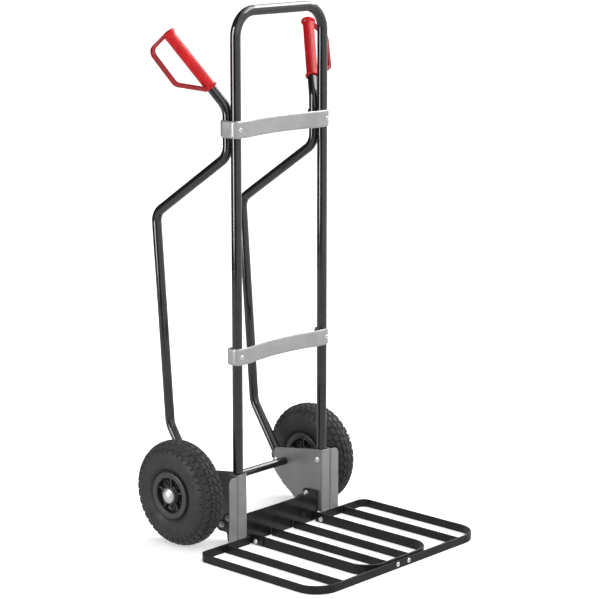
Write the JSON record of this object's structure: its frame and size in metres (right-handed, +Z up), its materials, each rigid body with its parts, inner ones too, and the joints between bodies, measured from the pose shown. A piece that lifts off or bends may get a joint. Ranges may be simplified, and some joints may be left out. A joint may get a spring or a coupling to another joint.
{
  "type": "hand truck",
  "caption": "Hand truck with a bent-tube frame, guarded grips, cross straps, air-tyred wheels on a cross axle and a barred toe frame that folds up.",
  "frame": {"origin": "middle of the bounding box at floor level, with the toe frame folded down", "axes": "+Z up from the floor; +X across the truck, towards its right side as seen from the load side; -Y towards the load side, where the toe frame lies, and +Y towards the wheels and the user"},
  "size_m": [0.607, 0.6874, 1.3095],
  "materials": {
    "black_tube": "glossy black powder coat on bent steel tube",
    "black_sheet": "high-gloss black paint on folded sheet steel",
    "toe_steel": "satin black powder coat on flat steel bar",
    "silver_sheet": "satin silver-grey paint on folded sheet steel",
    "red_grip": "moulded red plastic with a soft sheen",
    "tyre_rubber": "dark grey rubber with block tread",
    "wheel_plastic": "dark grey moulded plastic",
    "foot_plastic": "black moulded plastic",
    "valve_rubber": "black rubber",
    "zinc_hardware": "bright zinc plated steel",
    "bright_cap": "pressed bright steel cap"
  },
  "bodies": {
    "frame": {"main_frame_tube": "black_tube", "handle_tube_left": "black_tube", "handle_tube_right": "black_tube", "grip_left": "red_grip", "grip_right": "red_grip", "upper_cross_strap": "silver_sheet", "lower_cross_strap": "silver_sheet", "upper_strap_rivet_left": "zinc_hardware", "upper_strap_rivet_right": "zinc_hardware", "lower_strap_rivet_left": "zinc_hardware", "lower_strap_rivet_right": "zinc_hardware", "bracket_plate_left": "silver_sheet", "bracket_plate_right": "silver_sheet", "bracket_flange_left": "silver_sheet", "bracket_flange_right": "silver_sheet", "bracket_bolt_left": "zinc_hardware", "bracket_bolt_right": "zinc_hardware", "handle_bolt_left": "zinc_hardware", "handle_bolt_right": "zinc_hardware", "base_plate": "black_sheet", "support_foot_left": "foot_plastic", "support_foot_right": "foot_plastic", "foot_bolt_front_left": "zinc_hardware", "foot_bolt_rear_left": "zinc_hardware", "foot_bolt_front_right": "zinc_hardware", "foot_bolt_rear_right": "zinc_hardware", "axle": "black_tube", "axle_spacer_left": "black_tube", "axle_spacer_right": "black_tube", "axle_cap_left": "bright_cap", "axle_cap_right": "bright_cap", "hinge_bolt_left": "zinc_hardware", "hinge_bolt_right": "zinc_hardware"},
    "wheel_left": {"tyre_left": "tyre_rubber", "rim_outer_left": "wheel_plastic", "rim_inner_left": "wheel_plastic", "hub_left": "wheel_plastic", "bearing_outer_left": "zinc_hardware", "bearing_inner_left": "zinc_hardware", "valve_left": "valve_rubber"},
    "wheel_right": {"tyre_right": "tyre_rubber", "rim_outer_right": "wheel_plastic", "rim_inner_right": "wheel_plastic", "hub_right": "wheel_plastic", "bearing_outer_right": "zinc_hardware", "bearing_inner_right": "zinc_hardware", "valve_right": "valve_rubber"},
    "toe_frame": {"toe_outer_loop": "toe_steel", "toe_inner_loop": "toe_steel", "toe_slat_far_left": "toe_steel", "toe_slat_mid_left": "toe_steel", "toe_slat_mid_right": "toe_steel", "toe_slat_far_right": "toe_steel", "toe_rivet_left": "zinc_hardware", "toe_rivet_right": "zinc_hardware"}
  },
  "joints": [
    {"name": "wheel_left_spin", "type": "hinge", "parent": "frame", "child": "wheel_left", "pos_m": [-0.238, 0.17049, 0.131], "axis": [1, 0, 0], "continuous": true},
    {"name": "wheel_right_spin", "type": "hinge", "parent": "frame", "child": "wheel_right", "pos_m": [0.238, 0.17049, 0.131], "axis": [1, 0, 0], "continuous": true},
    {"name": "toe_fold", "type": "hinge", "parent": "frame", "child": "toe_frame", "pos_m": [0, 0.02499, 0.0105], "axis": [-1, 0, 0], "range_deg": [0, 90]}
  ]
}
